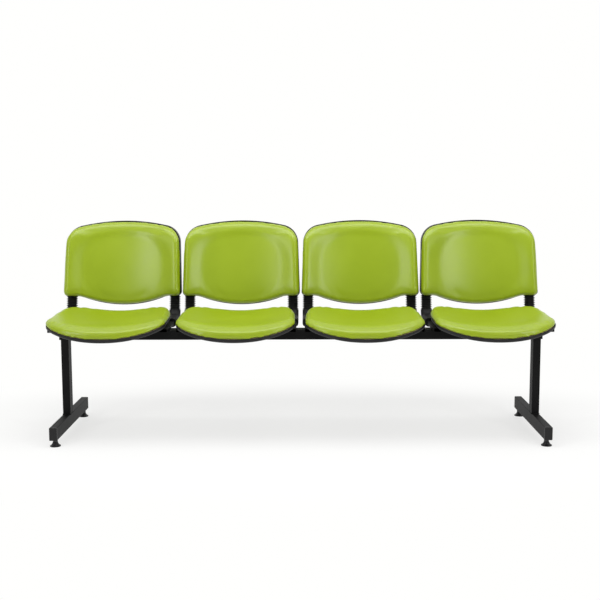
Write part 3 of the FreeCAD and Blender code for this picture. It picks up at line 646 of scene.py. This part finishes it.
def seat_cushion_skin():
    """Cushion of a seat before it swells: underside, tucked seam, rolled side and dished top."""
    outline = even_outline(seat_rim, SEAT_RING_POINTS)

    def ring(inset, height):
        points = []
        for rim in outline:
            spoke = rim - SEAT_HEART
            spot = SEAT_HEART + spoke * (1 - inset / spoke.length)
            points.append(Vector((spot.x, spot.y, height(spot.x, spot.y))))
        return points

    rings = [ring(inset * MM, seam_height) for inset in (30, 16)]
    for step in range(5):
        turn = math.pi / 2 * step / 4
        lift = SEAT_TUCK * (1 - math.cos(turn))
        rings.append(ring(SEAT_TUCK * (1 - math.sin(turn)), lambda x, y: seam_height(x, y) + lift))
    for step in range(1, 9):
        turn = math.pi / 2 * step / 8
        drop = SEAT_ROLL_DOWN * (1 - math.sin(turn))
        rings.append(ring(SEAT_ROLL_IN * (1 - math.cos(turn)), lambda x, y: seat_top(x, y) - drop))
    rings += inner_rings(rings[-1], SEAT_HEART, seat_top)
    rings[:0] = reversed(inner_rings(rings[0], SEAT_HEART, seam_height))
    heart_x, heart_y = SEAT_HEART
    poles = [Vector((heart_x, heart_y, f(heart_x, heart_y))) for f in (seam_height, seat_top)]
    return skin("seat_cushion_pad", rings, *poles)


# %% Swell one seat cushion and lay a copy on each shell
def on_seat_board(point):
    return point.z < seam_height(point.x, point.y) + 4 * MM


def near_seat_seam(point):
    """1 at the seam, 0 some way up the side."""
    return max(0.0, 1 - (point.z - seam_height(point.x, point.y)) / SEAT_PULLS_REACH)


seat_pad = swollen(seat_cushion_skin(), SEAT_SWELL, on_seat_board)
one_for_each_place(seat_pad, "seat", near_seat_seam, SEAT_PULLS)

# %% [markdown]
# ## Back cushions
#
# A back is drawn from the front with straight flanks, a crowned top and a lower edge that bows down
# between two ears, where the arms enter. It curves round the sitter and leans twelve degrees. Its
# foam is moulded with a raised border and a shallow oval hollow, which is where the soft boxes show.

# %% Back sizes
BACK_HALF = 247.0 * MM
BACK_TOP_HALF = 237.4 * MM
BACK_CORNER_Z = 521.7 * MM
BACK_SIDE_HEIGHT = 282.2 * MM
BACK_CROWN = (46.5 * MM, 840.0 * MM)
BACK_SMILE = (74.1 * MM, 446.0 * MM)
BACK_CORNERS = {"top": 76.0 * MM, "low": 18.0 * MM, "ear": 60.0 * MM}
BACK_EAR = 60.8 * MM
BACK_LEAN = math.tan(math.radians(12.0))
BACK_DATUM_Z = 536.4 * MM
BACK_CENTRE_Y = depth(323.6)
BACK_SAGITTA = 54.6 * MM
BACK_INSET = 0.6 * MM
BACK_ROLL_IN = 21 * MM
BACK_EDGE = 21 * MM
BACK_BORDER = 7.0 * MM
LUMBAR_FILL = 11 * MM
LUMBAR_Z = 590 * MM
LUMBAR_REACH = {"below": 165 * MM, "above": 250 * MM}
PANEL_HALF = Vector((186 * MM, 146 * MM))
PANEL_MIDDLE_Z = 642 * MM
PANEL_SQUARENESS = 2.6
PANEL_STEP = (0.86, 1.17)
BACK_SWELL = 3.0 * MM
BACK_PULLS = 1.2 * MM
BACK_PULLS_REACH = 20 * MM
BACK_RING_POINTS = 132


# %% Outline of straight runs and tangent arcs
def rounded_outline(corners, arc_step):
    """Points round a closed shape from corners given as (across, up, radius)."""
    points = []
    for i, (a, b, radius) in enumerate(corners):
        here = Vector((a, b))
        before = (Vector(corners[i - 1][:2]) - here).normalized()
        after = (Vector(corners[(i + 1) % len(corners)][:2]) - here).normalized()
        half = before.angle(after) / 2
        centre = here + (before + after).normalized() * (radius / math.sin(half))
        start = here + before * (radius / math.tan(half)) - centre
        stop = here + after * (radius / math.tan(half)) - centre
        swing = start.angle_signed(stop)
        steps = max(2, round(abs(swing) * radius / arc_step))
        for step in range(steps + 1):
            turn = -swing * step / steps
            spin = Vector((start.x * math.cos(turn) - start.y * math.sin(turn),
                           start.x * math.sin(turn) + start.y * math.cos(turn)))
            points.append(centre + spin)
    return points


def back_corners():
    """Corners of a back seen from the front, each with the radius that rounds it."""
    half = [
        (BACK_HALF - BACK_EAR, BACK_CORNER_Z, BACK_CORNERS["ear"]),
        (BACK_HALF, BACK_CORNER_Z, BACK_CORNERS["low"]),
        (BACK_TOP_HALF, BACK_CORNER_Z + BACK_SIDE_HEIGHT, BACK_CORNERS["top"]),
    ]
    low = (0.0, BACK_CORNER_Z - BACK_SMILE[0], BACK_SMILE[1])
    top = (0.0, BACK_CORNER_Z + BACK_SIDE_HEIGHT + BACK_CROWN[0], BACK_CROWN[1])
    return [low, *half, top, *[(-a, b, r) for a, b, r in reversed(half)]]


def along(points, count):
    """Points at equal steps along a closed run of points."""
    total = [0.0]
    for i in range(len(points)):
        total.append(total[-1] + (points[(i + 1) % len(points)] - points[i]).length)
    result, at = [], 0
    for i in range(count):
        goal = total[-1] * i / count
        while total[at + 1] < goal:
            at += 1
        run = max(total[at + 1] - total[at], 1e-9)
        result.append(points[at].lerp(points[(at + 1) % len(points)], (goal - total[at]) / run))
    return result


# %% Back cushion skin
def back_seam_y(x, z):
    """Depth of the seam surface between cushion and shell."""
    return BACK_CENTRE_Y + (z - BACK_DATUM_Z) * BACK_LEAN - BACK_SAGITTA * (x / BACK_HALF) ** 2


def back_thickness(x, z):
    """Foam in front of the seam: a raised border round a shallow oval hollow with a little crown."""
    u, v = abs(x) / PANEL_HALF.x, abs(z - PANEL_MIDDLE_Z) / PANEL_HALF.y
    q = (u ** PANEL_SQUARENESS + v ** PANEL_SQUARENESS) ** (1 / PANEL_SQUARENESS)
    step = min(1.0, max(0.0, (q - PANEL_STEP[0]) / (PANEL_STEP[1] - PANEL_STEP[0])))
    border = BACK_BORDER * step * step * (3 - 2 * step)
    reach = LUMBAR_REACH["below" if z < LUMBAR_Z else "above"]
    lumbar = LUMBAR_FILL * max(0.0, 1 - ((z - LUMBAR_Z) / reach) ** 2)
    return BACK_EDGE + border + lumbar


def back_cushion_skin():
    """Cushion of a back before it swells, from the middle of its rear to the middle of its front."""
    outline = along(rounded_outline(back_corners(), 5 * MM), BACK_RING_POINTS)
    heart = Vector((0.0, PANEL_MIDDLE_Z))

    def ring(inset, share):
        points = []
        for rim in outline:
            spoke = rim - heart
            spot = heart + spoke * (1 - (inset + BACK_INSET) / spoke.length)
            forward = share * back_thickness(spot.x, spot.y)
            points.append(Vector((spot.x, back_seam_y(spot.x, spot.y) - forward, spot.y)))
        return points

    def inner(end, share, rows):
        """Rings that run in over the front, where the share is 1, or over the rear."""
        def surface(x, z):
            return back_seam_y(x, z) - share * back_thickness(x, z)

        flat = [Vector((p.x, p.z, 0)) for p in end]
        return [[Vector((p.x, p.z, p.y)) for p in row]
                for row in inner_rings(flat, heart, surface, rows)]

    rings = [ring(inset * MM, 0.0) for inset in (30, 16, 6)]
    rings += [ring(1.5 * MM, 0.02), ring(0.0, 0.1), ring(0.0, 0.2)]
    for step in range(1, 9):
        turn = math.pi / 2 * step / 8
        rings.append(ring(BACK_ROLL_IN * (1 - math.cos(turn)), 0.2 + 0.8 * math.sin(turn)))
    rings = inner(rings[0], 0.0, 8)[::-1] + rings + inner(rings[-1], 1.0, 22)
    deep = back_seam_y(*heart)
    poles = [Vector((0, deep - share * back_thickness(*heart), heart.y)) for share in (0.0, 1.0)]
    return skin("back_cushion_pad", rings, *poles)


# %% Swell one back cushion and fit a copy to each shell
def on_back_board(point):
    return point.y > back_seam_y(point.x, point.z) - 3 * MM


def near_back_seam(point):
    """1 at the seam, 0 some way forward of it."""
    return max(0.0, 1 - (back_seam_y(point.x, point.z) - point.y) / BACK_PULLS_REACH)


back_pad = swollen(back_cushion_skin(), BACK_SWELL, on_back_board)
one_for_each_place(back_pad, "back", near_back_seam, BACK_PULLS)

# %% [markdown]
# ## Bellows
#
# Between seat and back each arm wears a rubbery sleeve with eight soft ribs. It is one section that
# runs along a path and swells and shrinks as it goes, which is what Geometry Nodes do well: the path
# is resampled finely, its scale follows a wave near the upper end, and a rounded rectangle is swept
# along it. The count, pitch and depth of the ribs are named inputs of the tree.

# %% A small builder for node trees with named inputs
def new_tree(name, numbers):
    """Geometry tree with a geometry in and out, numbers by name, and its material as the last input."""
    tree = bpy.data.node_groups.new(name, "GeometryNodeTree")
    tree.interface.new_socket("Path", in_out="INPUT", socket_type="NodeSocketGeometry")
    tree.interface.new_socket("Shape", in_out="OUTPUT", socket_type="NodeSocketGeometry")
    for title, value in numbers.items():
        socket = tree.interface.new_socket(title, in_out="INPUT", socket_type="NodeSocketFloat")
        socket.default_value = value
    tree.interface.new_socket("Material", in_out="INPUT", socket_type="NodeSocketMaterial")
    wiring = Wiring(tree)
    source = tree.nodes.new("NodeGroupInput")
    fields = {socket.name: Field(wiring, socket) for socket in source.outputs if socket.name}
    return wiring, fields


def swept(wiring, path, section, scale):
    """Closed shape of a section along a path, larger or smaller as a scale says, shaded smooth."""
    shape = wiring.add("GeometryNodeCurveToMesh", {}, {
        "Curve": path, "Profile Curve": section, "Scale": scale, "Fill Caps": True})
    return wiring.add("GeometryNodeSetShadeSmooth", {}, {0: shape})


def finish_tree(wiring, fields, shape):
    """End a tree with real geometry that carries its material."""
    real = wiring.add("GeometryNodeRealizeInstances", {}, {0: shape})
    coated = wiring.add("GeometryNodeSetMaterial", {}, {"Geometry": real, "Material": fields["Material"]})
    wiring.add("NodeGroupOutput", {}, {0: coated})
    return wiring.tree


def grown(name, path, tree, values, slot_name):
    """Plain mesh that a tree makes along a path, with the tree's inputs set by identifier."""
    modifier = path.modifiers.new("grow", "NODES")
    modifier.node_group = tree
    for item in tree.interface.items_tree:
        if item.item_type == "SOCKET" and item.in_out == "INPUT" and item.name in values:
            modifier[item.identifier] = values[item.name]
        if item.name == "Material":
            modifier[item.identifier] = finishes[slot_name]
    return settled(path, name)


def path_through(points):
    """Curve object with one straight-sided spline through points."""
    data = bpy.data.curves.new("path", "CURVE")
    data.dimensions = "3D"
    spline = data.splines.new("POLY")
    spline.points.add(len(points) - 1)
    for target, point in zip(spline.points, points):
        target.co = (*point, 1.0)
    return linked("path", data)


# %% Ribbed sleeve as a tree
SLEEVE = {"Width": 0.047, "Depth": 0.036, "Corner": 0.016, "Pitch": 0.0076, "Count": 8.0,
          "Root": 0.76, "Step": 0.0006}
TROUGH_SHARPNESS = 0.9


def sleeve_tree():
    """Rounded rectangle swept along a path, with ribs over its last stretch."""
    wiring, fields = new_tree("ribbed_sleeve", SLEEVE)
    fine = wiring.add("GeometryNodeResampleCurve", {"mode": "LENGTH"},
                      {"Curve": fields["Path"], "Length": fields["Step"]})
    along_path = wiring.add("GeometryNodeSplineParameter", {}, {}, "Length")
    whole = wiring.add("GeometryNodeSplineLength", {}, {}, "Length")
    ribs_left = (whole - along_path) / fields["Pitch"]
    in_ribs = wiring.add("ShaderNodeMath", {"operation": "LESS_THAN"}, {0: ribs_left, 1: fields["Count"]})
    wave = wiring.add("ShaderNodeMath", {"operation": "COSINE"}, {0: ribs_left * math.tau})
    trough = (0.5 + 0.5 * wave) ** TROUGH_SHARPNESS
    scale = 1 - in_ribs * trough * (1 - fields["Root"])
    rectangle = wiring.add("GeometryNodeCurvePrimitiveQuadrilateral", {},
                           {"Width": fields["Width"], "Height": fields["Depth"]})
    section = wiring.add("GeometryNodeFilletCurve", {"mode": "POLY"},
                         {"Curve": rectangle, "Count": 7, "Radius": fields["Corner"]})
    return finish_tree(wiring, fields, swept(wiring, fine, section, scale))


# %% Path of an arm's middle line
ARM_OFFSET = 218 * MM
ARM_LEVEL = 426.5 * MM
ARM_ELBOW_Y = depth(244.11)
ARM_BEND = 44 * MM
ARM_RISE = math.radians(78.0)
SLEEVE_FRONT = depth(140.0)


def arm_path(front, top):
    """Points along an arm's middle line, from a depth in front up to a height."""
    points = [Vector((0, front, ARM_LEVEL))]
    for step in range(13):
        turn = ARM_RISE * step / 12
        points.append(Vector((0, ARM_ELBOW_Y + ARM_BEND * math.sin(turn),
                              ARM_LEVEL + ARM_BEND * (1 - math.cos(turn)))))
    climb = (top - points[-1].z) / math.sin(ARM_RISE)
    points.append(points[-1] + Vector((0, math.cos(ARM_RISE), math.sin(ARM_RISE))) * climb)
    return points


# %% One sleeve on every arm
sleeve_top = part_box("bellows_left_1")[1].z
sleeve_path = path_through(arm_path(SLEEVE_FRONT, sleeve_top))
sleeve = grown("sleeve", sleeve_path, sleeve_tree(), SLEEVE, "bellows_plastic")
print("sleeve faces", len(sleeve.data.polygons), "width", round(sleeve.dimensions.x, 4))
for number, middle in enumerate(seat_middles, 1):
    for side, sign in (("left", -1), ("right", 1)):
        piece = linked("sleeve_%s_%d" % (side, number), sleeve.data.copy())
        piece.data.transform(Matrix.Translation((middle + sign * ARM_OFFSET, 0, 0)))
        dressed(smooth(piece), "bellows_plastic", PART_BODY, "bellows_%s_%d" % (side, number))
bpy.data.objects.remove(sleeve)

# %% [markdown]
# ## Weld beads
#
# The posts are welded to the foot bars, and every arm to its bracket plate. A hand-laid bead is a row
# of overlapping ripples, so a second tree sweeps a round section along a path and lets its scale
# ripple. The bead sits in the corner between both parts and wears the same powder coat.

# %% Rippled bead as a tree
BEAD = {"Radius": 0.0026, "Ripple": 0.0032, "Depth": 0.16, "Step": 0.0008}


def bead_tree():
    """Round section swept along a path, thicker and thinner in ripples."""
    wiring, fields = new_tree("weld_bead", BEAD)
    fine = wiring.add("GeometryNodeResampleCurve", {"mode": "LENGTH"},
                      {"Curve": fields["Path"], "Length": fields["Step"]})
    along_path = wiring.add("GeometryNodeSplineParameter", {}, {}, "Length")
    phase = along_path / fields["Ripple"]
    ripple = wiring.add("ShaderNodeMath", {"operation": "PINGPONG"}, {0: phase, 1: 1.0})
    section = wiring.add("GeometryNodeCurvePrimitiveCircle", {},
                         {"Resolution": 8, "Radius": fields["Radius"]})
    return finish_tree(wiring, fields, swept(wiring, fine, section, 1 - fields["Depth"] * ripple))


# %% Beads round the posts' feet and along the arms
POST_CORNER = 3 * MM
PLATE_TOP = beam_top + 4 * MM
ARM_HALF_WIDTH = 15 * MM
WELD_RUNS = ((-70, -10), (30, 118))
beads = bead_tree()


def welded(name, points):
    """Bead of weld through points."""
    bead = grown(name, path_through(points), beads, BEAD, "coated_steel")
    dressed(bead, "coated_steel", PART_BODY)


for side in ("left", "right"):
    low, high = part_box("leg_post_" + side)
    around = []
    quarters = ((high.x, high.y), (low.x, high.y), (low.x, low.y), (high.x, low.y))
    for quarter, (x, y) in enumerate(quarters):
        centre = Vector((x - math.copysign(POST_CORNER, x - (low.x + high.x) / 2),
                         y - math.copysign(POST_CORNER, y - (low.y + high.y) / 2), low.z))
        for step in range(5):
            turn = math.pi / 2 * (quarter + step / 4)
            around.append(centre + POST_CORNER * Vector((math.cos(turn), math.sin(turn), 0)))
    welded("weld_post_" + side, [*around, around[0]])

for number, middle in enumerate(seat_middles, 1):
    for side, sign in (("left", -1), ("right", 1)):
        x = middle + sign * (ARM_OFFSET - ARM_HALF_WIDTH)
        for run, ends in enumerate(WELD_RUNS, 1):
            welded("weld_arm_%s_%d_%d" % (side, number, run),
                   [Vector((x, depth(end), PLATE_TOP)) for end in ends])

# %% [markdown]
# ## Levelling screws
#
# Each foot stands on a screw that turns in the foot bar. When it is screwed out its thread shows, so
# it is a real one: a ridge that climbs one pitch each turn round a core. The foot with its neck and
# the core are turned from one profile each, and the collar keeps its six flats.

# %% Screw sizes
THREAD_PITCH = 1.5 * MM
THREAD_CREST = 5.0 * MM
THREAD_CORE = 4.25 * MM
THREAD_STEPS = 24
COLLAR_FLATS = 17 * MM
COLLAR_BEVEL = 0.8 * MM
COLLAR_LOW = 18.0 * MM
COLLAR_HIGH = 26.5 * MM
SCREW_TOP = 60.5 * MM
FOOT_MM = ((3.5, 6.6), (3.9, 7.0), (6.6, 7.0), (7.0, 6.6), (7.4, 4.4), (7.8, 4.0), (18.3, 4.0))


def turned(profile, sides=48):
    """Closed mesh turned about Z from (height, radius) pairs in metres, with flat ends."""
    shape = bmesh.new()
    rings = []
    for z, r in profile:
        turns = [math.tau * i / sides for i in range(sides)]
        rings.append([shape.verts.new((r * math.cos(turn), r * math.sin(turn), z)) for turn in turns])
    for low, high in zip(rings, rings[1:]):
        for i in range(sides):
            j = (i + 1) % sides
            shape.faces.new((low[i], low[j], high[j], high[i]))
    shape.faces.new(list(reversed(rings[0])))
    shape.faces.new(rings[-1])
    bmesh.ops.recalc_face_normals(shape, faces=shape.faces)
    return shape


def hexagonal_collar():
    """Six-sided collar with both rims bevelled."""
    radius = COLLAR_FLATS / math.sqrt(3)
    slim = radius - COLLAR_BEVEL
    rim = COLLAR_BEVEL / 2
    return turned([(COLLAR_LOW, slim), (COLLAR_LOW + rim, radius),
                   (COLLAR_HIGH - rim, radius), (COLLAR_HIGH, slim)], 6)


def thread_ridge():
    """Ridge of the thread: a closed wedge of a section that climbs one pitch each turn."""
    shape = bmesh.new()
    turns = (SCREW_TOP - COLLAR_HIGH) / THREAD_PITCH - 1.5
    sunk = THREAD_CORE - 0.3 * MM
    wedge = ((sunk, -0.48), (THREAD_CREST, -0.06), (THREAD_CREST, 0.06), (sunk, 0.48))
    spots = []
    for step in range(round(turns * THREAD_STEPS) + 1):
        turn = math.tau * step / THREAD_STEPS
        z = COLLAR_HIGH + THREAD_PITCH * (step / THREAD_STEPS + 0.75)
        spots.append([shape.verts.new((r * math.cos(turn), r * math.sin(turn), z + lift * THREAD_PITCH))
                      for r, lift in wedge])
    for before, after in zip(spots, spots[1:]):
        for i in range(4):
            j = (i + 1) % 4
            shape.faces.new((before[i], before[j], after[j], after[i]))
    shape.faces.new(spots[0])
    shape.faces.new(list(reversed(spots[-1])))
    bmesh.ops.recalc_face_normals(shape, faces=shape.faces)
    return shape


# %% One screw in every foot
core = [(COLLAR_HIGH - 0.2 * MM, THREAD_CORE), (SCREW_TOP - 0.8 * MM, THREAD_CORE),
        (SCREW_TOP, THREAD_CORE - 0.8 * MM)]
foot = [(z * MM, r * MM) for z, r in FOOT_MM]
screw = bpy.data.meshes.new("screw")
whole = bmesh.new()
for shape in (turned(foot), hexagonal_collar(), turned(core), thread_ridge()):
    scrap = bpy.data.meshes.new("scrap")
    shape.to_mesh(scrap)
    shape.free()
    whole.from_mesh(scrap)
    bpy.data.meshes.remove(scrap)
whole.to_mesh(screw)
whole.free()
print("screw faces", len(screw.polygons))
for end in ("front", "rear"):
    for side in ("left", "right"):
        low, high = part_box("glide_stud_%s_%s" % (end, side))
        piece = linked("screw_%s_%s" % (end, side), screw.copy())
        piece.data.transform(Matrix.Translation(((low.x + high.x) / 2, (low.y + high.y) / 2, 0)))
        piece.data.shade_flat()
        dressed(piece, "black_steel", "stud_%s_%s" % (end, side), "glide_stud_%s_%s" % (end, side))
